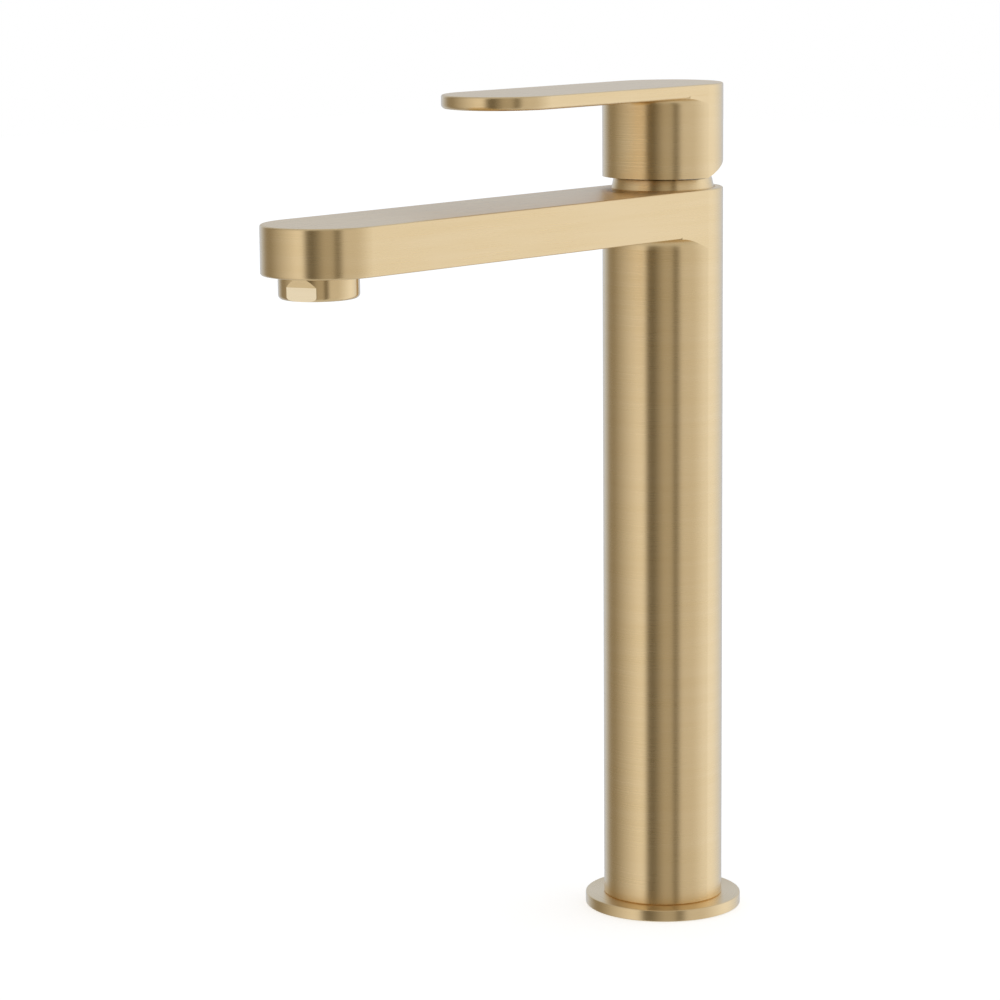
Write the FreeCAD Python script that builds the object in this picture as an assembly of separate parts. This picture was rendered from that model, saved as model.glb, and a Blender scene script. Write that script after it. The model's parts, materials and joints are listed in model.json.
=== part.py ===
import FreeCAD, Part
import math
import os

# Tall single-lever basin mixer, as separate pieces.
# Millimetres, +Z up, origin at the centre of the base on the deck plane.
# The spout and the lever point to -Y. Hot is on -X and cold on +X.

# Cartridge
cartridge_radius = 17.5
cartridge_wall = 2.0
cartridge_shoulder = 2.5      # width of the step from the housing in to its neck
neck_wall = 2.5
neck_rise = 2.5               # neck above the body's top face
roof_thickness = 1.5          # housing above its chamber, up to the shoulder
disc_thickness = 3.0
carrier_plate = 3.0
carrier_floor = 1.1           # under the stem's ball
turret_flange = 2.2
cartridge_foot = 4.0          # plate under the housing
foot_spigot = 3.1

# Body
nut_step = 1.5                # the nut's radius beyond the cartridge's
nut_height = 7.15
top_wall = 3.5                # wall round the nut
column_wall = 2.5
body_top = 274.8              # top face above the deck, on the column's axis
seat_block_height = 15.0
channel_width = 12.0          # waterway up the front of the cartridge bore
channel_depth = 2.9

# Spout
spout_reach = 172.6           # column axis to the centre of the nose
spout_thickness = 17.2
spout_wall = 2.5
spout_fall = 0.65             # degrees
spout_root_fillet = 4.3
edge_round = 0.8

# Base
flange_margin = 7.1           # flange beyond the column
flange_thickness = 4.4
spigot_wall = 2.4
spigot_height = 5.2
gasket_depth = 1.5
gasket_width = 4.0
gasket_margin = 3.0           # from the flange's rim
ring_width = 1.4              # seal rings, along their axis
ring_depth = 1.0              # seal rings, across
foot_chamfer = 0.4

# Inlets
manifold_lift = 12.0          # underside above the deck
manifold_height = 18.0
inlet_radius = 4.5            # M10x1 before threading
inlet_depth = 12.0
inlet_x = 8.5
inlet_y = 4.5
stud_radius = 3.4             # M8 before threading
stud_depth = 14.0
stud_y = -9.0
supply_radius = 4.0
supply_wall = 1.0
supply_socket = 5.0

# Waterway in the spout
water_radius = 3.5
water_wall = 1.0
chamber_radius = 9.5
chamber_height = 6.5
boss_wall = 2.6

# Aerator
thread_radius = 12.0          # M24
thread_depth = 6.0
thread_engaged = 5.0
aerator_radius = 13.95
aerator_drop = 8.0
aerator_forward = 3.6         # its axis beyond the nose's centre, towards the tip
aerator_bore = 10.2
aerator_lip = 0.8
lip_height = 1.2
aerator_round = 1.5
flat_offset = 12.75           # spanner flats from the axis
flat_height = 4.8
flat_turn = 19.0              # degrees from -Y towards +X
screen_hole = 0.7
screen_pitch = 2.1
screen_rings = 3
jet_hole = 0.9
jet_count = 12
regulator_radius = 5.5
regulator_height = 1.9

# Handle
handle_gap = 4.2              # handle's lower edge above the body's top
handle_height = 34.4
skirt_wall = 2.2
lever_reach = 84.8            # column axis to the centre of the tip
lever_thickness = 4.9
lever_fall = 0.43             # degrees
lever_root_fillet = 2.2
lever_under_round = 1.5
handle_roof = 1.0             # roof below the lever plate
lift_angle = 22.0
relief_margin = 0.3           # degrees, the skirt's rear relief beyond the lift
handle_boss_radius = 9.0
boss_lift = 3.2               # boss above the handle's lower edge
screw_lift = 15.2             # fixing screw above the handle's lower edge
screw_radius = 2.5
screw_length = 5.0
screw_key = 2.5
plug_radius = 3.0
plug_length = 2.8
plug_recess = 0.2

# Collar
collar_gap = 1.1              # collar inside the handle's skirt
collar_taper = 0.9
collar_below_handle = 0.5
seat_recess = 0.35
seat_gap = 0.25

# Stem and turret
pivot_depth = 3.5             # cross pin below the body's top face
lift_arm = 10.0
ball_radius = 2.5
stem_neck = 1.8
stem_side = 8.0
stem_above_screw = 6.0
pin_radius = 1.5
slot_half_length = 8.6
carrier_radius = 10.5
carrier_half_width = 7.6
carrier_half_length = 8.0
lug_width = 2.6
lug_half_length = 9.0
turret_rim_gap = 0.5          # turret's top below the neck's

# Clearances
slide_fit = 0.1               # cartridge in its bore, spigot in the column
running_fit = 0.05            # turning and rocking fits
loose_gap = 0.3               # moving faces that aren't a fit
socket_fit = 0.05             # square stem in the handle

# Sizes that follow
nut_radius = cartridge_radius + nut_step
body_radius = nut_radius + top_wall
column_bore = body_radius - column_wall
cartridge_bore = cartridge_radius + slide_fit
neck_radius = cartridge_radius - cartridge_shoulder
neck_bore = neck_radius - neck_wall
chamber_inner = cartridge_radius - cartridge_wall
nut_top = body_top - seat_recess
shoulder_z = nut_top - nut_height
neck_top = body_top + neck_rise
chamber_top = shoulder_z - roof_thickness
flange_z = chamber_top - loose_gap - turret_flange
pivot_z = body_top - pivot_depth
ball_z = pivot_z - lift_arm
carrier_top = flange_z - loose_gap
lean = math.radians(lift_angle)
neck_sweep = (carrier_top - ball_z) * math.tan(lean) + stem_neck / math.cos(lean)
ball_socket = max(ball_radius + loose_gap + slide_fit, neck_sweep + 2 * slide_fit)
carrier_bottom = ball_z - ball_radius - loose_gap - carrier_floor
plate_top = carrier_bottom + carrier_plate
moving_disc_z = carrier_bottom - disc_thickness
fixed_disc_z = moving_disc_z - disc_thickness
housing_z = fixed_disc_z - foot_spigot
seat_z = housing_z - cartridge_foot
turret_radius = neck_bore - running_fit
channel_far = cartridge_bore + channel_depth
flange_radius = body_radius + flange_margin
spigot_radius = column_bore - slide_fit
base_bore = spigot_radius - spigot_wall
manifold_top = manifold_lift + manifold_height
handle_bottom = body_top + handle_gap
handle_top = handle_bottom + handle_height
skirt_bore = body_radius - skirt_wall
handle_ceiling = handle_top - lever_thickness - handle_roof
screw_z = handle_bottom + screw_lift
collar_radius = skirt_bore - collar_gap
collar_top = handle_bottom - collar_below_handle
spout_under = body_top - spout_thickness / math.cos(math.radians(spout_fall))
aerator_reach = spout_reach + aerator_forward
nose_under = spout_under - aerator_reach * math.tan(math.radians(spout_fall))
stem_half = stem_side / 2

X_AXIS = FreeCAD.Vector(1, 0, 0)
Z_AXIS = FreeCAD.Vector(0, 0, 1)


def point(x, y, z):
    return FreeCAD.Vector(x, y, z)


def rod(radius, low, high, x=0.0, y=0.0):
    return Part.makeCylinder(radius, high - low, point(x, y, low))


def tube(outer, inner, low, high, x=0.0, y=0.0):
    return rod(outer, low, high, x, y).cut(rod(inner, low - 1, high + 1, x, y))


def block(x0, x1, y0, y1, z0, z1):
    return Part.makeBox(x1 - x0, y1 - y0, z1 - z0, point(x0, y0, z0))


def fused(first, others):
    return first.fuse(others).removeSplitter()


def level_edges(shape, height):
    """Edges that lie wholly at one height."""
    found = []
    for edge in shape.Edges:
        box = edge.BoundBox
        if abs(box.ZMin - height) < 0.001 and abs(box.ZMax - height) < 0.001:
            found.append(edge)
    return found


def outer_rim(shape, height, radius):
    """Full circles of one radius about the Z axis at one height."""
    found = []
    for edge in level_edges(shape, height):
        if isinstance(edge.Curve, Part.Circle) and abs(edge.Curve.Radius - radius) < 0.01:
            found.append(edge)
    return found


def plan_prism(radius, reach, low, high):
    """Upright prism with a stadium plan from the column axis to the nose."""
    a = point(radius, 0, low)
    b = point(-radius, 0, low)
    c = point(-radius, -reach, low)
    d = point(radius, -reach, low)
    edges = [
        Part.Arc(a, point(0, radius, low), b).toShape(),
        Part.LineSegment(b, c).toShape(),
        Part.Arc(c, point(0, -reach - radius, low), d).toShape(),
        Part.LineSegment(d, a).toShape(),
    ]
    return Part.Face(Part.Wire(edges)).extrude(point(0, 0, high - low))


def falling_arm(radius, reach, top, thickness, fall):
    """Flat arm with parallel top and underside that fall towards its nose."""
    drop = (reach + radius) * math.tan(math.radians(fall))
    prism = plan_prism(radius, reach, top - thickness - drop - 5, top + 5)
    slab = block(-2 * radius, 2 * radius, -reach - 3 * radius, 3 * radius, -thickness, 0)
    slab.rotate(point(0, 0, 0), X_AXIS, fall)
    slab.translate(point(0, 0, top))
    return prism.common(slab)


def rounded_arm(arm, top, thickness, top_round, under_round):
    """Rounds the outline of an arm's top face and of its underside."""
    middle = top - thickness / 2
    upper = []
    lower = []
    for edge in arm.Edges:
        ends = edge.Vertexes[0].Point.sub(edge.Vertexes[-1].Point)
        if math.hypot(ends.x, ends.y) < 1:
            continue
        centre = edge.CenterOfMass
        fall_here = arm_height(arm, centre.y)
        if centre.z > middle + fall_here:
            upper.append(edge)
        else:
            lower.append(edge)
    arm = arm.makeFillet(top_round, upper)
    lower = [edge for edge in arm.Edges if any(edge.isSame(other) for other in lower)]
    return arm.makeFillet(under_round, lower) if lower else arm


def arm_height(arm, y):
    """Height of an arm's mid plane at y, from its value at y = 0."""
    face = max(arm.Faces, key=lambda item: item.CenterOfMass.z)
    normal = face.normalAt(0, 0)
    return -normal.y / normal.z * y


def root_fillet(radius, fillet, under, fall):
    """Concave quarter round where an arm's underside meets the column below it."""
    level = under - (radius + fillet) * math.tan(math.radians(fall))
    diagonal = fillet * math.sqrt(0.5)
    inner_top = point(radius - 1, 0, under + 1)
    outer_top = point(radius + fillet, 0, under + 1)
    outer = point(radius + fillet, 0, level)
    middle = point(radius + fillet - diagonal, 0, level - fillet + diagonal)
    foot = point(radius, 0, level - fillet)
    inner_foot = point(radius - 1, 0, level - fillet)
    edges = [
        Part.LineSegment(inner_top, outer_top).toShape(),
        Part.LineSegment(outer_top, outer).toShape(),
        Part.Arc(outer, middle, foot).toShape(),
        Part.LineSegment(foot, inner_foot).toShape(),
        Part.LineSegment(inner_foot, inner_top).toShape(),
    ]
    ring = Part.Face(Part.Wire(edges)).revolve(point(0, 0, 0), Z_AXIS, 360)
    front = block(-radius, radius, -radius - 2 * fillet, 0, level - 2 * fillet, under + 2)
    return ring.common(front)


def on_nose(shape):
    """Moves a shape drawn about the Z axis to the underside of the spout's nose."""
    placed = shape.copy()
    placed.rotate(point(0, 0, 0), X_AXIS, spout_fall)
    placed.translate(point(0, -aerator_reach, nose_under))
    return placed


def water_line():
    """Ends of the spout tube's axis: the channel's wall and the aerator chamber."""
    start = point(0, -channel_far, spout_under + spout_wall + water_radius)
    height = nose_under + thread_depth + water_radius + ring_depth + loose_gap
    end = point(0, -aerator_reach + chamber_radius, height)
    return start, end


def on_water_line(radius, start_gap, end_gap):
    """Cylinder on the spout tube's axis, short of both ends by the gaps."""
    start, end = water_line()
    direction = end.sub(start)
    length = direction.Length
    direction.normalize()
    base = start.add(direction * start_gap)
    return Part.makeCylinder(radius, length - start_gap - end_gap, base, direction)


def water_rings(outer):
    """Two seal rings' outer shapes, one near each end of the spout tube."""
    length = water_line()[1].sub(water_line()[0]).Length
    inset = thread_radius - chamber_radius + 2 * slide_fit
    near = on_water_line(outer, inset, length - inset - ring_width)
    far = on_water_line(outer, length - inset - ring_width, inset)
    return [near, far]


def body_and_spout():
    arm = falling_arm(body_radius, spout_reach, body_top, spout_thickness, spout_fall)
    arm = rounded_arm(arm, body_top, spout_thickness, edge_round, edge_round)
    column = rod(body_radius, flange_thickness, body_top - spout_thickness / 2)
    column = column.makeChamfer(foot_chamfer, outer_rim(column, flange_thickness, body_radius))
    root = root_fillet(body_radius, spout_root_fillet, spout_under, spout_fall)
    shape = fused(arm, [column, root])
    hollow = falling_arm(
        body_radius - spout_wall,
        spout_reach,
        body_top - spout_wall,
        spout_thickness - 2 * spout_wall,
        spout_fall,
    )
    rear_end = -body_radius - spout_wall
    hollow = hollow.cut(block(-body_radius, body_radius, rear_end, body_radius, 0, body_top + 9))
    shape = shape.cut(hollow)
    boss = rod(thread_radius + boss_wall, spout_wall / 2, spout_thickness - spout_wall / 2)
    shape = fused(shape, [on_nose(boss)])
    cuts = [
        rod(column_bore, flange_thickness - 1, seat_z),
        rod(cartridge_bore, seat_z - 1, shoulder_z),
        rod(nut_radius, shoulder_z, body_top + 9),
        rod(collar_radius + seat_gap, nut_top, body_top + 9),
        front_channel(),
        on_nose(rod(thread_radius, -1, thread_depth)),
        on_nose(rod(chamber_radius, thread_depth - 1, thread_depth + chamber_height)),
        on_water_line(water_radius, -1, -1),
    ]
    cuts += water_rings(water_radius + ring_depth)
    for cut in cuts:
        shape = shape.cut(cut)
    return shape


def front_channel():
    """Waterway in the front wall, from the seat block up to the spout tube."""
    top = water_line()[0].z + water_radius - water_wall
    half = channel_width / 2
    return block(-half, half, -channel_far, -cartridge_bore + 2, seat_z - 5.5, top)


def base_flange():
    disc = rod(flange_radius, 0, flange_thickness)
    disc = disc.makeFillet(edge_round, outer_rim(disc, flange_thickness, flange_radius))
    shape = fused(disc, [rod(spigot_radius, 0, flange_thickness + spigot_height)])
    shape = shape.cut(rod(base_bore, -1, flange_thickness + spigot_height + 1))
    outer = flange_radius - gasket_margin
    shape = shape.cut(tube(outer, outer - gasket_width, -1, gasket_depth))
    return shape.cut(spigot_ring())


def spigot_ring():
    low = flange_thickness + (spigot_height - ring_width) / 2
    return tube(column_bore, spigot_radius - ring_depth, low, low + ring_width)


def base_gasket():
    outer = flange_radius - gasket_margin
    return tube(outer, outer - gasket_width, 0, gasket_depth)


def inlet_sides():
    return [-inlet_x, inlet_x]


def supply_ring(x, low):
    return tube(supply_radius + ring_depth, supply_radius, low, low + ring_width, x, inlet_y)


def supply_ring_levels():
    lower = manifold_top - supply_socket + ring_width
    upper = seat_z - seat_block_height + supply_socket - 2 * ring_width
    return [lower, upper]


def supply_rings():
    return [supply_ring(x, low) for x in inlet_sides() for low in supply_ring_levels()]


def inlet_manifold():
    shape = rod(column_bore, manifold_lift, manifold_top)
    for x in inlet_sides():
        mouth = manifold_lift + inlet_depth
        shape = shape.cut(rod(inlet_radius, manifold_lift - 1, mouth, x, inlet_y))
        shape = shape.cut(rod(supply_radius - supply_wall, mouth - 1, manifold_top, x, inlet_y))
        shape = shape.cut(
            rod(supply_radius, manifold_top - supply_socket, manifold_top + 1, x, inlet_y)
        )
        shape = shape.cut(
            rod(supply_radius + ring_depth, supply_ring_levels()[0],
                supply_ring_levels()[0] + ring_width, x, inlet_y)
        )
    stud_top = manifold_lift + stud_depth
    return shape.cut(rod(stud_radius, manifold_lift - 1, stud_top, 0, stud_y))


def supply_tube(x):
    low = manifold_top - supply_socket
    high = seat_z - seat_block_height + supply_socket
    return tube(supply_radius, supply_radius - supply_wall, low, high, x, inlet_y)


def valve_seat_block():
    low = seat_z - seat_block_height
    shape = rod(column_bore, low, seat_z)
    for x in inlet_sides():
        shape = shape.cut(rod(supply_radius, low - 1, low + supply_socket, x, inlet_y))
        shape = shape.cut(rod(supply_radius - supply_wall, low, seat_z + 1, x, inlet_y))
        shape = shape.cut(
            rod(supply_radius + ring_depth, supply_ring_levels()[1],
                supply_ring_levels()[1] + ring_width, x, inlet_y)
        )
    half = channel_width / 2
    groove = block(-half, half, -channel_far, -channel_width / 2, seat_z - 5.5, seat_z + 1)
    return shape.cut(groove)


def spout_water_tube():
    inner = on_water_line(water_radius - water_wall, -1, -1)
    return on_water_line(water_radius, 0.5, 0.5).cut(inner)


def water_tube_seals():
    core = on_water_line(water_radius, -1, -1)
    return Part.makeCompound([ring.cut(core) for ring in water_rings(water_radius + ring_depth)])


def spanner_flat(side):
    """Wedge that cuts one flat and the ramp above it."""
    far = aerator_radius + 4
    ramp = aerator_drop - flat_height
    outline = [
        point(flat_offset, -far, -aerator_drop - 1),
        point(flat_offset, -far, -ramp),
        point(aerator_radius, -far, 0),
        point(far, -far, 0),
        point(far, -far, -aerator_drop - 1),
    ]
    face = Part.Face(Part.makePolygon(outline + outline[:1]))
    wedge = face.extrude(point(0, 2 * far, 0))
    wedge.rotate(point(0, 0, 0), Z_AXIS, side - 90 + flat_turn)
    return wedge


def aerator_housing():
    skirt = rod(aerator_radius, -aerator_drop, 0)
    skirt = skirt.makeFillet(aerator_round, outer_rim(skirt, -aerator_drop, aerator_radius))
    for side in [0, 180]:
        skirt = skirt.cut(spanner_flat(side))
    shape = fused(skirt, [rod(thread_radius, -1, thread_engaged)])
    shape = shape.cut(rod(aerator_bore, lip_height - aerator_drop, thread_engaged + 1))
    shape = shape.cut(rod(aerator_bore - aerator_lip, -aerator_drop - 1, 0))
    return on_nose(shape)


def screen_bottom():
    return lip_height - aerator_drop


def screen_top():
    return screen_bottom() + lip_height


def aerator_screen():
    shape = rod(aerator_bore, screen_bottom(), screen_top())
    holes = []
    for row in range(-screen_rings, screen_rings + 1):
        for column in range(-screen_rings, screen_rings + 1):
            if abs(row + column) > screen_rings:
                continue
            x = screen_pitch * (column + row / 2)
            y = screen_pitch * row * math.sqrt(0.75)
            holes.append(rod(screen_hole, screen_bottom() - 1, screen_top() + 1, x, y))
    return on_nose(shape.cut(Part.makeCompound(holes)))


def aerator_insert():
    top = thread_engaged
    shape = rod(aerator_bore, screen_top(), top)
    shape = shape.cut(rod(regulator_radius, top - regulator_height, top + 1))
    shape = shape.cut(rod(regulator_radius / 2, screen_top() - 1, top))
    middle = (regulator_radius + aerator_bore) / 2
    for index in range(jet_count):
        angle = 2 * math.pi * index / jet_count
        x = middle * math.cos(angle)
        y = middle * math.sin(angle)
        shape = shape.cut(rod(jet_hole, screen_top() - 1, top + 1, x, y))
    return on_nose(shape)


def flow_regulator():
    top = thread_engaged
    shape = rod(regulator_radius, top - regulator_height, top)
    return on_nose(shape.cut(rod(regulator_radius / 4, top - regulator_height - 1, top + 1)))


def aerator_washer():
    return on_nose(tube(thread_radius, chamber_radius, thread_engaged, thread_depth))


def cartridge_housing():
    shape = fused(rod(cartridge_radius, housing_z, shoulder_z),
                  [rod(neck_radius, housing_z, neck_top)])
    shape = shape.cut(rod(chamber_inner, housing_z - 1, chamber_top))
    return shape.cut(rod(neck_bore, housing_z, neck_top + 1))


def port_places():
    return [(-inlet_x, inlet_y), (inlet_x, inlet_y), (0.0, -channel_width / 2 - 3)]


def cartridge_base():
    shape = fused(rod(cartridge_radius, seat_z, housing_z),
                  [rod(chamber_inner, seat_z, fixed_disc_z)])
    bore = supply_radius - supply_wall
    for x, y in port_places():
        shape = shape.cut(rod(bore, seat_z - 1, fixed_disc_z + 1, x, y))
        shape = shape.cut(rod(bore + ring_depth, seat_z - 1, seat_z + ring_width, x, y))
    return shape


def port_seals():
    bore = supply_radius - supply_wall
    rings = []
    for x, y in port_places():
        rings.append(tube(bore + ring_depth, bore, seat_z, seat_z + ring_width, x, y))
    return Part.makeCompound(rings)


def fixed_ceramic_disc():
    shape = rod(chamber_inner, fixed_disc_z, moving_disc_z)
    for x, y in port_places():
        shape = shape.cut(rod(supply_radius - supply_wall, fixed_disc_z - 1,
                              moving_disc_z + 1, x, y))
    return shape


def moving_ceramic_disc():
    shape = rod(carrier_radius, moving_disc_z, carrier_bottom)
    pocket = rod(carrier_radius / 2, moving_disc_z - 1, moving_disc_z + disc_thickness / 2)
    return shape.cut(pocket)


def disc_carrier():
    lower = rod(carrier_radius, carrier_bottom, plate_top)
    upper = block(-carrier_half_width, carrier_half_width,
                  -carrier_half_length, carrier_half_length, carrier_bottom, carrier_top)
    shape = fused(lower, [upper])
    floor = ball_z - ball_radius - loose_gap
    return shape.cut(rod(ball_socket, floor, carrier_top + 1))


def turret():
    shape = fused(rod(chamber_inner - loose_gap, flange_z, flange_z + turret_flange),
                  [rod(turret_radius, flange_z, neck_top - turret_rim_gap)])
    inner = carrier_half_width + loose_gap
    lugs = []
    for side in [-1, 1]:
        edges = sorted([side * inner, side * (inner + lug_width)])
        lugs.append(block(edges[0], edges[1], -lug_half_length, lug_half_length,
                          plate_top + loose_gap, flange_z + 1))
    shape = fused(shape, lugs)
    half = stem_half + loose_gap
    slot = block(-half, half, -slot_half_length, slot_half_length, flange_z - 1, neck_top + 1)
    shape = shape.cut(slot)
    return shape.cut(cross_rod(pin_radius, turret_radius + 1))


def cross_rod(radius, half_length):
    """Rod through the lift pivot, along X."""
    return Part.makeCylinder(radius, 2 * half_length, point(-half_length, 0, pivot_z), X_AXIS)


def stem():
    square = block(-stem_half, stem_half, -stem_half, stem_half,
                   flange_z + turret_flange, screw_z + stem_above_screw)
    neck = rod(stem_neck, ball_z, flange_z + turret_flange + 1)
    ball = Part.makeSphere(ball_radius, point(0, 0, ball_z))
    shape = fused(square, [neck, ball])
    return shape.cut(cross_rod(pin_radius + running_fit, stem_side))


def cartridge_nut():
    shape = tube(nut_radius, neck_radius + slide_fit, shoulder_z, nut_top)
    half = nut_step
    deep = nut_top - nut_height / 3
    for turn in [0, 90]:
        notch = block(-half, half, -body_radius, body_radius, deep, nut_top + 1)
        notch.rotate(point(0, 0, 0), Z_AXIS, turn)
        shape = shape.cut(notch)
    return shape


def grip_ring():
    middle = (nut_top + collar_top) / 2
    return tube(neck_radius + 1.5 * ring_depth, neck_radius,
                middle - ring_width / 2, middle + ring_width / 2)


def collar_ring():
    shape = Part.makeCone(collar_radius, collar_radius - collar_taper,
                          collar_top - nut_top, point(0, 0, nut_top))
    shape = shape.cut(rod(neck_radius + ring_depth / 2, nut_top - 1, collar_top + 1))
    return shape.cut(grip_ring())


def skirt_relief():
    """Wedge that frees the rear of the skirt when the lever is lifted."""
    size = 3 * body_radius
    wedge = block(-size, size, 0, size, -size, 0)
    wedge.rotate(point(0, 0, 0), X_AXIS, lift_angle + relief_margin)
    wedge.translate(point(0, 0, handle_bottom))
    return wedge


def cross_hole(radius, near, far):
    """Hole along Y for the handle's fixing screw."""
    return Part.makeCylinder(radius, far - near, point(0, near, screw_z), point(0, 1, 0))


def handle_lever():
    arm = falling_arm(body_radius, lever_reach, handle_top, lever_thickness, lever_fall)
    arm = rounded_arm(arm, handle_top, lever_thickness, edge_round, lever_under_round)
    base = rod(body_radius, handle_bottom, handle_top - lever_thickness / 2)
    under = handle_top - lever_thickness
    root = root_fillet(body_radius, lever_root_fillet, under, lever_fall)
    shape = fused(arm, [base, root])
    shape = shape.cut(rod(skirt_bore, handle_bottom - 1, handle_ceiling))
    boss = rod(handle_boss_radius, handle_bottom + boss_lift, handle_ceiling + 1)
    shape = fused(shape, [boss])
    half = stem_half + socket_fit
    top = screw_z + stem_above_screw + loose_gap
    shape = shape.cut(block(-half, half, -half, half, handle_bottom, top))
    shape = shape.cut(skirt_relief())
    shape = shape.cut(cross_hole(screw_radius, 0, handle_boss_radius + 1))
    return shape.cut(cross_hole(plug_radius, skirt_bore - 2, body_radius + 1))


def handle_grub_screw():
    start = stem_half + socket_fit
    shape = cross_hole(screw_radius, start, start + screw_length)
    key = screw_key / 2
    corners = []
    for index in range(7):
        angle = math.radians(60 * index)
        x = key / math.cos(math.pi / 6) * math.cos(angle)
        z = key / math.cos(math.pi / 6) * math.sin(angle)
        corners.append(point(x, start + screw_length / 2, screw_z + z))
    socket = Part.Face(Part.makePolygon(corners)).extrude(point(0, screw_length, 0))
    return shape.cut(socket)


def handle_screw_plug():
    far = body_radius - plug_recess
    return cross_hole(plug_radius, far - plug_length, far)


pieces = {
    "body_and_spout": body_and_spout(),
    "base_flange": base_flange(),
    "flange_oring": spigot_ring(),
    "base_gasket": base_gasket(),
    "inlet_manifold": inlet_manifold(),
    "hot_supply_tube": supply_tube(-inlet_x),
    "cold_supply_tube": supply_tube(inlet_x),
    "supply_tube_seals": Part.makeCompound(supply_rings()),
    "valve_seat_block": valve_seat_block(),
    "spout_water_tube": spout_water_tube(),
    "water_tube_seals": water_tube_seals(),
    "aerator_housing": aerator_housing(),
    "aerator_insert": aerator_insert(),
    "aerator_screen": aerator_screen(),
    "aerator_washer": aerator_washer(),
    "flow_regulator": flow_regulator(),
    "cartridge_housing": cartridge_housing(),
    "cartridge_base": cartridge_base(),
    "port_seals": port_seals(),
    "fixed_ceramic_disc": fixed_ceramic_disc(),
    "cartridge_nut": cartridge_nut(),
    "collar_ring": collar_ring(),
    "collar_grip_ring": grip_ring(),
    "turret": turret(),
    "stem_pin": cross_rod(pin_radius, turret_radius - loose_gap),
    "moving_ceramic_disc": moving_ceramic_disc(),
    "disc_carrier": disc_carrier(),
    "handle_lever": handle_lever(),
    "stem": stem(),
    "handle_grub_screw": handle_grub_screw(),
    "handle_screw_plug": handle_screw_plug(),
}

os.makedirs("parts", exist_ok=True)
for name, shape in pieces.items():
    shape.exportStep("parts/" + name + ".step")
    print(name, "solids", len(shape.Solids), "valid", shape.isValid(), "volume", round(shape.Volume, 1))
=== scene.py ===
import json
import math
import bpy
from mathutils import Matrix, Vector


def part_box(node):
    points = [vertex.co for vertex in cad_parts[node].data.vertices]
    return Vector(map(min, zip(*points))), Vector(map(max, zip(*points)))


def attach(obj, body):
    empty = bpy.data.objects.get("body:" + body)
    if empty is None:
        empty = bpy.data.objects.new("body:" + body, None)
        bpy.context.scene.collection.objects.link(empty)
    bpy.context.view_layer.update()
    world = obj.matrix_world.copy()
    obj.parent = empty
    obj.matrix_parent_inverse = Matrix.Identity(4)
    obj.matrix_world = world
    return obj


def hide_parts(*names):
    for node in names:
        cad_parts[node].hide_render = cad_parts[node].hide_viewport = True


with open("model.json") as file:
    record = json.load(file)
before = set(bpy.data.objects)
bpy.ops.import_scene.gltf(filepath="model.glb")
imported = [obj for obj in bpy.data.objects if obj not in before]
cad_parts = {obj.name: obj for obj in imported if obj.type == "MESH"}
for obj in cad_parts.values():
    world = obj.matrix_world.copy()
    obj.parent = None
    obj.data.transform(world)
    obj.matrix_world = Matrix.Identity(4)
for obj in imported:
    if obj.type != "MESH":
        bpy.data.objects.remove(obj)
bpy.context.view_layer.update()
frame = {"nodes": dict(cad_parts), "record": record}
nodes = frame["nodes"]
print("frame loaded:", len(nodes), "nodes")

cameraSetup = {
    "side": 43.975,       # degrees from the front towards the right
    "distance": 1.33658,
    "height": 0.376528,
    "slide": -0.061522,   # to the camera's right
    "pitch": 9.3321,      # degrees down
    "roll": -0.4362,
    "lens": 128.973,
    "sensor": 36,
    "farLimit": 50,
}


def makeCamera(setup):
    side = math.radians(setup["side"])
    pitch = math.radians(setup["pitch"])
    roll = math.radians(setup["roll"])
    back = Vector((math.sin(side), -math.cos(side), 0))
    right = Vector((math.cos(side), math.sin(side), 0))
    place = back * setup["distance"] + right * setup["slide"] + Vector((0, 0, setup["height"]))
    forward = -back * math.cos(pitch) - Vector((0, 0, math.sin(pitch)))
    up = right.cross(forward)
    turnedRight = right * math.cos(roll) + up * math.sin(roll)
    turnedUp = up * math.cos(roll) - right * math.sin(roll)
    bpy.ops.object.camera_add(location=place)
    camera = bpy.context.active_object
    axes = Matrix((turnedRight, turnedUp, -forward)).transposed()
    camera.rotation_euler = axes.to_euler()
    camera.data.lens = setup["lens"]
    camera.data.sensor_width = setup["sensor"]
    camera.data.clip_end = setup["farLimit"]
    bpy.context.scene.camera = camera


makeCamera(cameraSetup)


# short ways to add and join nodes; each gives back the socket that it puts out

def link(tree, source, target):
    tree.links.new(source, target)


def feed(tree, socket, value):
    # a number or colour is set on the socket, anything else is linked to it
    if isinstance(value, (int, float)):
        socket.default_value = value
    elif isinstance(value, tuple):
        socket.default_value = (*value, 1)
    else:
        link(tree, value, socket)


def mathNode(tree, operation, first, second=None, third=None):
    node = tree.nodes.new("ShaderNodeMath")
    node.operation = operation
    for socket, value in zip(node.inputs, (first, second, third)):
        if value is not None:
            feed(tree, socket, value)
    return node.outputs[0]


def noiseAt(tree, vector, scale, detail, roughness):
    noise = tree.nodes.new("ShaderNodeTexNoise")
    noise.inputs["Scale"].default_value = scale
    noise.inputs["Detail"].default_value = detail
    noise.inputs["Roughness"].default_value = roughness
    link(tree, vector, noise.inputs["Vector"])
    return noise.outputs[0]


def scaled(tree, vector, factors):
    node = tree.nodes.new("ShaderNodeVectorMath")
    node.operation = "MULTIPLY"
    link(tree, vector, node.inputs[0])
    node.inputs[1].default_value = factors
    return node.outputs[0]


def dividedBy(tree, vector, size):
    node = tree.nodes.new("ShaderNodeVectorMath")
    node.operation = "SCALE"
    link(tree, vector, node.inputs[0])
    link(tree, mathNode(tree, "DIVIDE", 1.0, size), node.inputs["Scale"])
    return node.outputs[0]


def combined(tree, x, y, z):
    node = tree.nodes.new("ShaderNodeCombineXYZ")
    for socket, value in zip(node.inputs, (x, y, z)):
        feed(tree, socket, value)
    return node.outputs[0]


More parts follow.
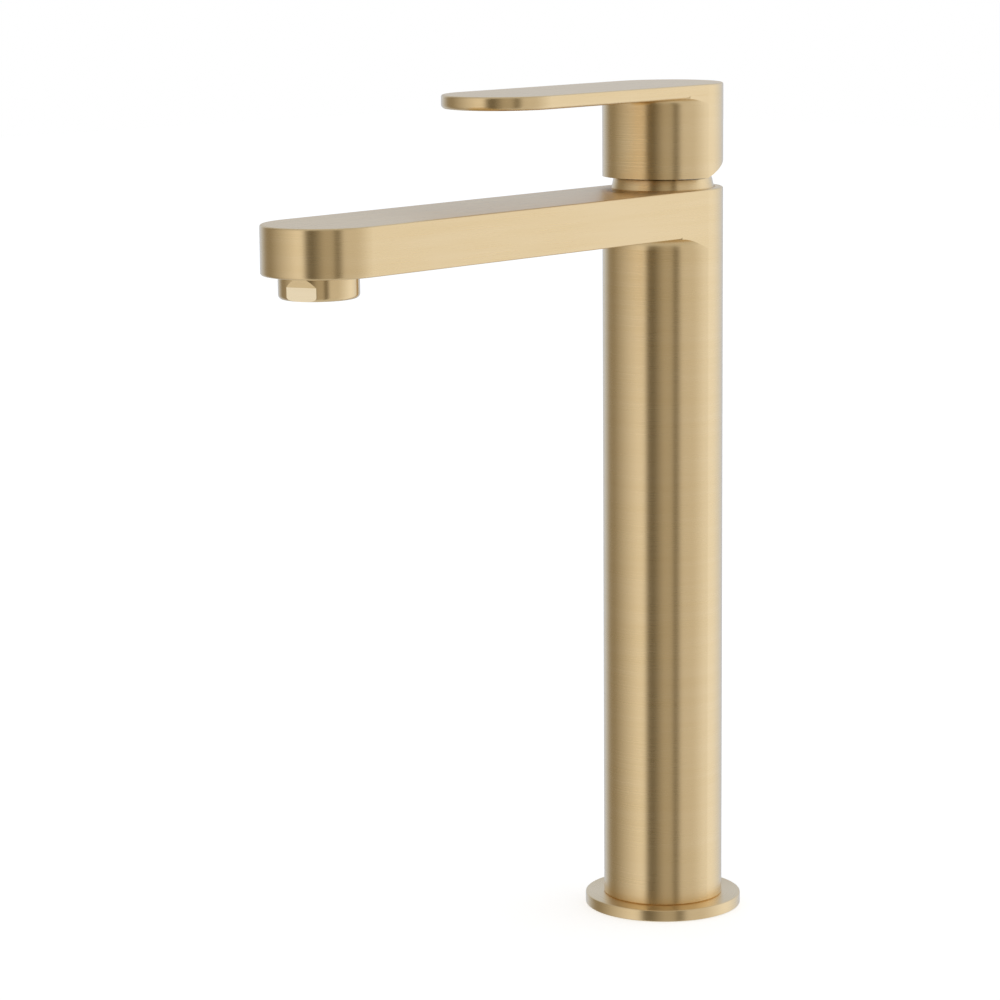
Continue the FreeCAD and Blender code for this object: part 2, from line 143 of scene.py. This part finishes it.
def separated(tree, vector):
    node = tree.nodes.new("ShaderNodeSeparateXYZ")
    link(tree, vector, node.inputs[0])
    return node.outputs


def mixValue(tree, factor, first, second):
    node = tree.nodes.new("ShaderNodeMix")
    node.data_type = "FLOAT"
    for socket, value in zip((node.inputs[0], node.inputs[2], node.inputs[3]), (factor, first, second)):
        feed(tree, socket, value)
    return node.outputs[0]


def mixColour(tree, factor, first, second):
    node = tree.nodes.new("ShaderNodeMix")
    node.data_type = "RGBA"
    for socket, value in zip((node.inputs[0], node.inputs[6], node.inputs[7]), (factor, first, second)):
        feed(tree, socket, value)
    return node.outputs[2]


def rangeOf(tree, value, low, high):
    # a soft step from 0 at low to 1 at high
    node = tree.nodes.new("ShaderNodeMapRange")
    node.interpolation_type = "SMOOTHSTEP"
    link(tree, value, node.inputs["Value"])
    node.inputs["From Min"].default_value = low
    node.inputs["From Max"].default_value = high
    return node.outputs[0]


studio = {
    # soft panels and dark flags round the object: where each begins and ends in degrees
    # from the camera towards the right, its brightness, and its coolness from 0 to 1
    "panels": {
        "cornerFlag": (-125, -110, .30, .10),
        "leftWindow": (-50, -40, .85, .45),
        "leftFlag": (-30, -20, .15, .0),
        "frontFill": (0, 15, .45, .20),
        "rightFlag": (20, 25, .20, .05),
        "rightWall": (35, 60, .65, .40),
        "rightWindow": (100, 110, .95, .65),
        "backWall": (155, 210, .60, 1.0),
    },
    "warm": (1.0, .87, .66),
    "cool": (1.0, 1.12, 1.38),
    "above": .55,                # overhead light
    "aboveFade": (.55, .85),     # how far up it starts and is whole, 1 being straight up
    "below": .62,                # light coming up off the floor
    "belowFade": (-.6, -.9),
    "backdrop": 1.0,
    "strength": 1.0,
}


def panelEdges(setup):
    edges = []
    for start, end, level, coolness in setup["panels"].values():
        tint = [warm + (cool - warm) * coolness for warm, cool in zip(setup["warm"], setup["cool"])]
        for degrees in (start, end):
            edges.append(((degrees / 360 + 0.5) % 1, [level * part for part in tint]))
    return sorted(edges)


def makeStudio(setup):
    world = bpy.data.worlds.new("softStudio")
    bpy.context.scene.world = world
    world.use_nodes = True
    tree = world.node_tree
    tree.nodes.clear()
    output = tree.nodes.new("ShaderNodeOutputWorld")
    place = tree.nodes.new("ShaderNodeTexCoord")
    x, y, z = separated(tree, place.outputs["Generated"])
    # share of a whole turn, counted from the camera's side
    turn = mathNode(tree, "ARCTAN2", x, mathNode(tree, "MULTIPLY", y, -1.0))
    turn = mathNode(tree, "SUBTRACT", turn, math.radians(cameraSetup["side"]))
    share = mathNode(tree, "WRAP", mathNode(tree, "DIVIDE", turn, 2 * math.pi), 0.5, -0.5)
    ramp = tree.nodes.new("ShaderNodeValToRGB")
    link(tree, mathNode(tree, "ADD", share, 0.5), ramp.inputs[0])
    ramp.color_ramp.interpolation = "LINEAR"
    stops = ramp.color_ramp.elements
    while len(stops) > 1:
        stops.remove(stops[-1])
    for index, (position, colour) in enumerate(panelEdges(setup)):
        stop = stops[0] if index == 0 else stops.new(position)
        stop.position = position
        stop.color = (*colour, 1)
    rising = rangeOf(tree, z, *setup["aboveFade"])
    falling = rangeOf(tree, z, *setup["belowFade"])
    around = mixColour(tree, rising, ramp.outputs[0], (setup["above"],) * 3)
    around = mixColour(tree, falling, around, (setup["below"],) * 3)
    light = tree.nodes.new("ShaderNodeBackground")
    light.inputs["Strength"].default_value = setup["strength"]
    link(tree, around, light.inputs["Color"])
    backdrop = tree.nodes.new("ShaderNodeBackground")
    backdrop.inputs["Color"].default_value = (1, 1, 1, 1)
    backdrop.inputs["Strength"].default_value = setup["backdrop"]
    paths = tree.nodes.new("ShaderNodeLightPath")
    choose = tree.nodes.new("ShaderNodeMixShader")
    link(tree, paths.outputs["Is Camera Ray"], choose.inputs[0])
    link(tree, light.outputs[0], choose.inputs[1])
    link(tree, backdrop.outputs[0], choose.inputs[2])
    link(tree, choose.outputs[0], output.inputs["Surface"])
    bpy.context.scene.view_settings.view_transform = "Standard"


makeStudio(studio)

floorLook = {
    "size": 8.0,
    "drop": .0002,        # below the base, so that the two don't flicker
    "pale": (.80, .80, .79),
    "lift": .60,          # glow that brings it up to the backdrop
}


def makeFloor(look):
    bpy.ops.object.select_all(action="DESELECT")
    bpy.ops.mesh.primitive_plane_add(size=look["size"], location=(0, 0, -look["drop"]))
    floor = bpy.context.active_object
    floor.name = "studioFloor"
    material = bpy.data.materials.new("paleFloor")
    material.use_nodes = True
    tree = material.node_tree
    tree.nodes.clear()
    output = tree.nodes.new("ShaderNodeOutputMaterial")
    paint = tree.nodes.new("ShaderNodeBsdfDiffuse")
    paint.inputs["Color"].default_value = (*look["pale"], 1)
    glow = tree.nodes.new("ShaderNodeEmission")
    glow.inputs["Strength"].default_value = look["lift"]
    both = tree.nodes.new("ShaderNodeAddShader")
    link(tree, paint.outputs[0], both.inputs[0])
    link(tree, glow.outputs[0], both.inputs[1])
    # seen through from underneath, so that low views still show the base
    side = tree.nodes.new("ShaderNodeNewGeometry")
    clear = tree.nodes.new("ShaderNodeBsdfTransparent")
    choose = tree.nodes.new("ShaderNodeMixShader")
    link(tree, side.outputs["Backfacing"], choose.inputs[0])
    link(tree, both.outputs[0], choose.inputs[1])
    link(tree, clear.outputs[0], choose.inputs[2])
    link(tree, choose.outputs[0], output.inputs["Surface"])
    floor.data.materials.append(material)
    floor.visible_glossy = False


makeFloor(floorLook)
print("studio and floor made")


def newGroup(name, inputs, outputs):
    group = bpy.data.node_groups.new(name, "ShaderNodeTree")
    for label, kind, value in inputs:
        socket = group.interface.new_socket(name=label, in_out="INPUT", socket_type=kind)
        if value is not None:
            socket.default_value = value
    for label in outputs:
        group.interface.new_socket(name=label, in_out="OUTPUT", socket_type="NodeSocketFloat")
    start = group.nodes.new("NodeGroupInput")
    end = group.nodes.new("NodeGroupOutput")
    return group, start, end


brushSetup = {
    "flatFade": (0.6, 0.8),        # how level a face is before its scratches turn
    "across": 2600.0,              # scratches to a metre
    "along": 30.0,
    "ringWander": 0.3,             # slow change round a turned face
    "fineNoise": (1.0, 3.0, 0.7),  # scale, detail, roughness
    "wideNoise": (1.0, 2.0, 0.6),
    "levelWiden": (0.6, 0.6, 0.12),
    "flatWiden": (0.12, 0.6, 1.0),
    "tintShares": (0.6, 0.4),      # of the streaks and of the handling marks
    "tintFade": (0.3, 0.7),
    "streakHeight": 0.5,
    "upright": (0.0, 0.0, 1.0),
    "lengthwise": (1.0, 0.0, 0.0),
}


def flatnessOf(tree, facing):
    # 0 on upright walls, 1 on level faces
    level = separated(tree, facing)[2]
    return rangeOf(tree, mathNode(tree, "ABSOLUTE", level), *brushSetup["flatFade"])


def makeBrushGroup(setup):
    # long fine scratches: level round upright walls, lengthwise or in rings on flat faces
    tree, start, end = newGroup(
        "brushGrain",
        [("Place", "NodeSocketVector", None), ("Facing", "NodeSocketVector", None),
         ("Rings", "NodeSocketFloat", 0.0), ("Fineness", "NodeSocketFloat", 1.0)],
        ["Grain", "Streak"])
    x, y, z = separated(tree, start.outputs["Place"])
    flatness = flatnessOf(tree, start.outputs["Facing"])
    squares = [mathNode(tree, "MULTIPLY", part, part) for part in (x, y)]
    radius = mathNode(tree, "SQRT", mathNode(tree, "ADD", *squares))
    wander = mathNode(tree, "MULTIPLY", x, setup["ringWander"])
    across = mixValue(tree, start.outputs["Rings"], x, radius)
    along = mixValue(tree, start.outputs["Rings"], y, wander)

    def finely(part):
        close = mathNode(tree, "MULTIPLY", part, setup["across"])
        return mathNode(tree, "MULTIPLY", close, start.outputs["Fineness"])

    def slowly(part):
        return mathNode(tree, "MULTIPLY", part, setup["along"])

    level = combined(tree, slowly(x), slowly(y), finely(z))
    flat = combined(tree, finely(across), slowly(along), 0.0)
    fine = mixValue(tree, flatness, noiseAt(tree, level, *setup["fineNoise"]),
                    noiseAt(tree, flat, *setup["fineNoise"]))
    levelWide = scaled(tree, level, setup["levelWiden"])
    flatWide = scaled(tree, flat, setup["flatWiden"])
    wide = mixValue(tree, flatness, noiseAt(tree, levelWide, *setup["wideNoise"]),
                    noiseAt(tree, flatWide, *setup["wideNoise"]))
    link(tree, fine, end.inputs["Grain"])
    link(tree, wide, end.inputs["Streak"])
    return tree


def makeHandlingGroup():
    # slow, faint change over a surface that hands and water touch
    tree, start, end = newGroup(
        "handlingMarks", [("Place", "NodeSocketVector", None), ("Size", "NodeSocketFloat", 0.03)],
        ["Marks"])
    spread = dividedBy(tree, start.outputs["Place"], start.outputs["Size"])
    link(tree, noiseAt(tree, spread, scale=1.0, detail=3.0, roughness=0.55), end.inputs["Marks"])
    return tree


mouldedSetup = {
    "tintShares": (0.5, 0.5),      # of the slow shade and of the fine skin
    "tintFade": (0.35, 0.65),
}


def makeMouldedGroup():
    # fine moulded skin with a slow change of shade, for plastic, rubber and ceramic
    tree, start, end = newGroup(
        "mouldedSkin", [("Place", "NodeSocketVector", None), ("Size", "NodeSocketFloat", .0004)],
        ["Skin", "Shade"])
    spread = dividedBy(tree, start.outputs["Place"], start.outputs["Size"])
    link(tree, noiseAt(tree, spread, scale=1.0, detail=3.0, roughness=0.6), end.inputs["Skin"])
    link(tree, noiseAt(tree, spread, scale=0.06, detail=2.0, roughness=0.5), end.inputs["Shade"])
    return tree


brushGroup = makeBrushGroup(brushSetup)
handlingGroup = makeHandlingGroup()
mouldedGroup = makeMouldedGroup()


def placeGroup(tree, group, values):
    node = tree.nodes.new("ShaderNodeGroup")
    node.node_tree = group
    for label, value in values.items():
        feed(tree, node.inputs[label], value)
    return node.outputs


def startMaterial(name):
    material = bpy.data.materials.new(name)
    material.use_nodes = True
    tree = material.node_tree
    coordinates = tree.nodes.new("ShaderNodeTexCoord")
    return material, tree, tree.nodes["Principled BSDF"], coordinates


def aroundMiddle(tree, value, amount):
    # turns a pattern's 0 to 1 into a change either way
    return mathNode(tree, "MULTIPLY", mathNode(tree, "SUBTRACT", value, 0.5), amount)


def tintFrom(tree, first, second, setup):
    firstShare, secondShare = setup["tintShares"]
    both = mathNode(tree, "ADD", mathNode(tree, "MULTIPLY", first, firstShare),
                    mathNode(tree, "MULTIPLY", second, secondShare))
    return rangeOf(tree, both, *setup["tintFade"])


def addBump(tree, shader, height, look):
    bump = tree.nodes.new("ShaderNodeBump")
    bump.inputs["Strength"].default_value = look["bump"]
    bump.inputs["Distance"].default_value = look["depth"]
    link(tree, height, bump.inputs["Height"])
    link(tree, bump.outputs[0], shader.inputs["Normal"])


def makeBrushedMetal(name, look):
    material, tree, shader, coordinates = startMaterial(name)
    place, facing = coordinates.outputs["Object"], coordinates.outputs["Normal"]
    brush = placeGroup(tree, brushGroup, {"Place": place, "Facing": facing,
                                          "Rings": look["rings"], "Fineness": look["fineness"]})
    marks = placeGroup(tree, handlingGroup, {"Place": place, "Size": look["markSize"]})
    tint = tintFrom(tree, brush["Streak"], marks["Marks"], brushSetup)
    link(tree, mixColour(tree, tint, look["deep"], look["bright"]), shader.inputs["Base Color"])
    shader.inputs["Metallic"].default_value = 1.0
    rough = mathNode(tree, "ADD", aroundMiddle(tree, brush["Grain"], look["grainRoughness"]),
                     aroundMiddle(tree, marks["Marks"], look["markRoughness"]))
    link(tree, mathNode(tree, "ADD", rough, look["roughness"]), shader.inputs["Roughness"])
    shader.inputs["Anisotropic"].default_value = look["anisotropy"]
    # the sheen spreads across the scratches
    upright = combined(tree, *brushSetup["upright"])
    if look["rings"] > 0.5:
        x, y = separated(tree, place)[:2]
        sideways = combined(tree, x, y, 0.0)
    else:
        sideways = combined(tree, *brushSetup["lengthwise"])
    sheen = tree.nodes.new("ShaderNodeMix")
    sheen.data_type = "VECTOR"
    link(tree, flatnessOf(tree, facing), sheen.inputs[0])
    link(tree, upright, sheen.inputs[4])
    link(tree, sideways, sheen.inputs[5])
    turned = tree.nodes.new("ShaderNodeVectorTransform")
    turned.vector_type = "VECTOR"
    turned.convert_from, turned.convert_to = "OBJECT", "WORLD"
    link(tree, sheen.outputs[1], turned.inputs[0])
    link(tree, turned.outputs[0], shader.inputs["Tangent"])
    streaks = mathNode(tree, "MULTIPLY", brush["Streak"], brushSetup["streakHeight"])
    height = mathNode(tree, "ADD", brush["Grain"], streaks)
    addBump(tree, shader, height, look)
    return material


def makeMoulded(name, look):
    material, tree, shader, coordinates = startMaterial(name)
    place = coordinates.outputs["Object"]
    skin = placeGroup(tree, mouldedGroup, {"Place": place, "Size": look["skinSize"]})
    marks = placeGroup(tree, handlingGroup, {"Place": place, "Size": look["markSize"]})
    shade = tintFrom(tree, skin["Shade"], skin["Skin"], mouldedSetup)
    link(tree, mixColour(tree, shade, look["deep"], look["bright"]), shader.inputs["Base Color"])
    rough = aroundMiddle(tree, marks["Marks"], look["markRoughness"])
    link(tree, mathNode(tree, "ADD", rough, look["roughness"]), shader.inputs["Roughness"])
    shader.inputs["Coat Weight"].default_value = look["coat"]
    shader.inputs["Coat Roughness"].default_value = look["coatRoughness"]
    addBump(tree, shader, skin["Skin"], look)
    return material


brushedBrassLook = {
    "deep": (.855, .655, .36),
    "bright": (.88, .685, .395),
    "roughness": .29,
    "grainRoughness": .14,
    "markRoughness": .04,
    "anisotropy": .85,
    "rings": 0.0,         # 1 where flat faces are turned on a lathe
    "fineness": 1.0,
    "markSize": .035,
    "bump": .24,
    "depth": .00002,
}
turnedBrassLook = {**brushedBrassLook, "rings": 1.0}
aeratorBrassLook = {**brushedBrassLook, "roughness": .24, "bump": .16}
# milled spanner flats: the lower roughness is the smoother milled finish, and the lighter base colour is
# a painted highlight for the brighter reflection they catch
paintedHighlightFlatLook = {
    **brushedBrassLook,
    "deep": (.95, .80, .54),
    "bright": (.99, .86, .60),
    "roughness": .20,
    "bump": .10,
}
plugBrassLook = {**brushedBrassLook, "fineness": 1.6, "markSize": .004}
plainBrassLook = {
    **brushedBrassLook,
    "deep": (.66, .47, .20),
    "bright": (.80, .61, .31),
    "roughness": .36,
    "markRoughness": .12,
    "anisotropy": .5,
    "rings": 1.0,
    "fineness": .5,
    "markSize": .008,
}
steelLook = {
    **plainBrassLook,
    "deep": (.50, .50, .50),
    "bright": (.62, .61, .60),
    "roughness": .32,
    "fineness": .8,
}
sealRubberLook = {
    "deep": (.016, .016, .017),
    "bright": (.032, .032, .033),
    "roughness": .62,
    "markRoughness": .2,
    "coat": 0.0,
    "coatRoughness": .15,
    "skinSize": .0003,
    "markSize": .004,
    "bump": .4,
    "depth": .00004,
}
cartridgePlasticLook = {
    "deep": (.58, .58, .56),
    "bright": (.68, .68, .66),
    "roughness": .42,
    "markRoughness": .12,
    "coat": 0.0,
    "coatRoughness": .15,
    "skinSize": .0005,
    "markSize": .008,
    "bump": .25,
    "depth": .00003,
}
aeratorPlasticLook = {
    **cartridgePlasticLook,
    "deep": (.42, .44, .45),
    "bright": (.52, .54, .55),
    "skinSize": .0002,
}
aluminaCeramicLook = {
    "deep": (.80, .79, .76),
    "bright": (.88, .87, .84),
    "roughness": .18,
    "markRoughness": .06,
    "coat": 0.4,
    "coatRoughness": .15,
    "skinSize": .00012,
    "markSize": .006,
    "bump": .12,
    "depth": .00001,
}

brushedBrass = makeBrushedMetal("brushedBrass", brushedBrassLook)
turnedBrass = makeBrushedMetal("turnedBrass", turnedBrassLook)
aeratorBrass = makeBrushedMetal("aeratorBrass", aeratorBrassLook)
paintedHighlightFlat = makeBrushedMetal("paintedHighlightFlat", paintedHighlightFlatLook)
steel = makeBrushedMetal("stainlessSteel", steelLook)
finishes = {
    # material slot in the record: finish
    "body_and_spout": brushedBrass,
    "handle_lever": brushedBrass,
    "base_flange": turnedBrass,
    "collar_ring": turnedBrass,
    "aerator_housing": aeratorBrass,
    "handle_screw_plug": makeBrushedMetal("plugBrass", plugBrassLook),
    "plain_brass": makeBrushedMetal("plainBrass", plainBrassLook),
    "steel": steel,
    "aerator_screen": steel,
    "seal_rubber": makeMoulded("sealRubber", sealRubberLook),
    "cartridge_plastic": makeMoulded("cartridgePlastic", cartridgePlasticLook),
    "aerator_plastic": makeMoulded("aeratorPlastic", aeratorPlasticLook),
    "ceramic": makeMoulded("aluminaCeramic", aluminaCeramicLook),
}
print("finishes made:", len(finishes))


latheSetup = {"seedSize": .001, "mergeWithin": .000002}


def workOn(piece):
    bpy.ops.object.select_all(action="DESELECT")
    piece.select_set(True)
    bpy.context.view_layer.objects.active = piece


def startFromPoint(name, first):
    # a plane shrunk to one point, to extrude a profile from
    bpy.ops.object.select_all(action="DESELECT")
    bpy.ops.mesh.primitive_plane_add(size=latheSetup["seedSize"], location=(0, 0, 0))
    piece = bpy.context.active_object
    piece.name = name
    piece.data.name = name
    bpy.ops.object.mode_set(mode="EDIT")
    bpy.ops.mesh.select_all(action="SELECT")
    bpy.ops.mesh.merge(type="CENTER")
    bpy.ops.transform.translate(value=first)
    return piece


def turnOnLathe(name, profile, steps):
    # profile: (radius, height) corners in order round a closed section
    corners = [Vector((radius, 0, height)) for radius, height in profile]
    piece = startFromPoint(name, corners[0])
    for before, after in zip(corners, corners[1:]):
        bpy.ops.mesh.extrude_region_move(TRANSFORM_OT_translate={"value": after - before})
    bpy.ops.mesh.select_all(action="SELECT")
    bpy.ops.mesh.edge_face_add()
    bpy.ops.mesh.delete(type="ONLY_FACE")
    bpy.ops.mesh.select_all(action="SELECT")
    bpy.ops.mesh.spin(steps=steps, angle=2 * math.pi, center=(0, 0, 0), axis=(0, 0, 1))
    bpy.ops.mesh.select_all(action="SELECT")
    bpy.ops.mesh.remove_doubles(threshold=latheSetup["mergeWithin"])
    bpy.ops.mesh.normals_make_consistent(inside=False)
    bpy.ops.object.mode_set(mode="OBJECT")
    return piece


def softenEdges(piece, look):
    workOn(piece)
    sharpFrom = math.radians(look["sharpFrom"])
    bevel = piece.modifiers.new("edgeBreak", "BEVEL")
    bevel.width = look["edge"]
    bevel.segments = look["edgeSegments"]
    bevel.limit_method = "ANGLE"
    bevel.angle_limit = sharpFrom
    bpy.ops.object.modifier_apply(modifier="edgeBreak")
    bpy.ops.object.shade_smooth_by_angle(angle=sharpFrom)
    even = piece.modifiers.new("evenShading", "WEIGHTED_NORMAL")
    even.keep_sharp = True
    bpy.ops.object.modifier_apply(modifier="evenShading")


def settle(piece, node):
    # on the tap's body, in place of the node of the same name as its slot
    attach(piece, "tap")
    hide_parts(node)


baseFlangeLook = {
    "bore": .0175,
    "spigotWall": .0024,
    "gasketMargin": .0030,    # from the rim to the groove for the gasket
    "gasketWidth": .0040,
    "gasketDepth": .0015,
    "ringGroove": .0010,      # depth of the seal's groove in the spigot
    "steps": 160,
    "edge": .00048,           # rounding of the rim
    "edgeSegments": 4,
    "sharpFrom": 30,          # degrees
}


def makeBaseFlange(look):
    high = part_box("base_flange")[1]
    ringLow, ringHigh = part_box("flange_oring")
    radius, top = high.x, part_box("body_and_spout")[0].z
    bore = look["bore"]
    spigot = bore + look["spigotWall"]
    ringFloor = spigot - look["ringGroove"]
    gasketOut = radius - look["gasketMargin"]
    gasketIn = gasketOut - look["gasketWidth"]
    gasketTop = look["gasketDepth"]
    profile = [(bore, 0), (gasketIn, 0), (gasketIn, gasketTop), (gasketOut, gasketTop),
               (gasketOut, 0), (radius, 0), (radius, top), (spigot, top),
               (spigot, ringLow.z), (ringFloor, ringLow.z), (ringFloor, ringHigh.z),
               (spigot, ringHigh.z), (spigot, high.z), (bore, high.z)]
    flange = turnOnLathe("baseFlange", profile, look["steps"])
    softenEdges(flange, look)
    flange.data.materials.append(turnedBrass)
    settle(flange, "base_flange")


makeBaseFlange(baseFlangeLook)

collarRingLook = {
    "bore": .0155,
    "taper": .0009,
    "ringGroove": .0010,
    "steps": 128,
    "edge": .00022,
    "edgeSegments": 3,
    "sharpFrom": 30,
}


def makeCollarRing(look):
    low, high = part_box("collar_ring")
    ringLow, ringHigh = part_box("collar_grip_ring")
    bore, ringFloor = look["bore"], look["bore"] + look["ringGroove"]
    profile = [(bore, low.z), (high.x, low.z), (high.x - look["taper"], high.z), (bore, high.z),
               (bore, ringHigh.z), (ringFloor, ringHigh.z), (ringFloor, ringLow.z), (bore, ringLow.z)]
    collar = turnOnLathe("collarRing", profile, look["steps"])
    softenEdges(collar, look)
    collar.data.materials.append(turnedBrass)
    settle(collar, "collar_ring")


makeCollarRing(collarRingLook)

aeratorLook = {
    "radius": .01395,
    "drop": .0080,
    "round": .0015,
    "roundSteps": 8,
    "thread": .0120,
    "threadLength": .0050,
    "bore": .0102,
    "lip": .0094,
    "lipHeight": .0012,
    "flat": .01275,           # spanner flats from the axis
    "flatHeight": .0048,
    "flatTurn": 19,           # degrees from the front towards the right
    "cutterDepth": .010,
    "cutterWidth": .030,
    "fall": .65,              # degrees, as the spout
    "steps": 128,
    "edge": .0001,
    "edgeSegments": 2,
    "sharpFrom": 20,
    "flatWithin": .00002,     # a face this near a flat's plane is part of it
}


def makeSpannerCutter(look, turn):
    # a block with a sloping shoulder, for one flat and the ramp above it
    shoulder = look["flatHeight"] - look["drop"]
    depth = look["cutterDepth"]
    bpy.ops.object.select_all(action="DESELECT")
    bpy.ops.mesh.primitive_cube_add(size=1, location=(look["flat"] + depth / 2, 0, shoulder - depth / 2),
                                    scale=(depth, look["cutterWidth"], depth))
    cutter = bpy.context.active_object
    bpy.ops.object.transform_apply(location=True, rotation=True, scale=True)
    for part in (*cutter.data.vertices, *cutter.data.edges):
        part.select = False
    for polygon in cutter.data.polygons:
        polygon.select = polygon.normal.z > .9    # the top face
    bpy.ops.object.mode_set(mode="EDIT")
    bpy.ops.mesh.select_mode(type="FACE")
    bpy.ops.mesh.extrude_region_move(TRANSFORM_OT_translate={"value": (0, 0, -shoulder)})
    bpy.ops.mesh.select_all(action="DESELECT")
    bpy.ops.object.mode_set(mode="OBJECT")
    for vertex in cutter.data.vertices:
        isTop = vertex.co.z > shoulder / 2
        vertex.select = isTop and vertex.co.x < look["flat"] + depth / 2
    bpy.ops.object.mode_set(mode="EDIT")
    bpy.ops.mesh.select_mode(type="VERT")
    bpy.ops.transform.translate(value=(look["radius"] - look["flat"], 0, 0))
    bpy.ops.object.mode_set(mode="OBJECT")
    cutter.rotation_euler.z = math.radians(turn)
    bpy.ops.object.transform_apply(location=True, rotation=True, scale=True)
    return cutter


def makeAeratorHousing(look):
    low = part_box("aerator_housing")[0]
    fall = math.radians(look["fall"])
    edgeRadius = look["radius"] - look["round"]
    lipTop = look["lipHeight"] - look["drop"]
    corners = []
    for step in range(look["roundSteps"] + 1):
        turn = math.radians(90 * step / look["roundSteps"])
        corners.append((edgeRadius + look["round"] * math.sin(turn),
                        -look["drop"] + look["round"] * (1 - math.cos(turn))))
    profile = [(look["lip"], -look["drop"]), *corners, (look["radius"], 0), (look["thread"], 0),
               (look["thread"], look["threadLength"]), (look["bore"], look["threadLength"]),
               (look["bore"], lipTop), (look["lip"], lipTop)]
    housing = turnOnLathe("aeratorHousing", profile, look["steps"])
    for side in (0, 180):
        cutter = makeSpannerCutter(look, side - 90 + look["flatTurn"])
        workOn(housing)
        cut = housing.modifiers.new("spannerFlat", "BOOLEAN")
        cut.operation = "DIFFERENCE"
        cut.object = cutter
        bpy.ops.object.modifier_apply(modifier="spannerFlat")
        bpy.data.objects.remove(cutter)
    softenEdges(housing, look)
    # the flats are milled smoother than the turned wall, and their lighter base colour is a painted
    # highlight standing in for the brighter reflection they catch
    housing.data.materials.append(aeratorBrass)
    housing.data.materials.append(paintedHighlightFlat)
    turn = math.radians(look["flatTurn"] - 90)
    across = Vector((math.cos(turn), math.sin(turn), 0))
    for polygon in housing.data.polygons:
        near = abs(abs(polygon.center.dot(across)) - look["flat"]) < look["flatWithin"]
        polygon.material_index = 1 if near and abs(polygon.normal.dot(across)) > .99 else 0
    # tilted with the spout and set under its nose
    reach = -(low.y + look["radius"] * math.cos(fall))
    under = low.z + look["drop"] * math.cos(fall) + edgeRadius * math.sin(fall)
    workOn(housing)
    housing.rotation_euler.x = fall
    housing.location = (0, -reach, under)
    bpy.ops.object.transform_apply(location=True, rotation=True, scale=True)
    settle(housing, "aerator_housing")


makeAeratorHousing(aeratorLook)
print("turned pieces made")

for part in frame["record"]["subparts"]:
    node = nodes[part["node"]]
    node.data.materials.clear()
    node.data.materials.append(finishes[part["material_slot"]])
print("carried-over pieces finished")
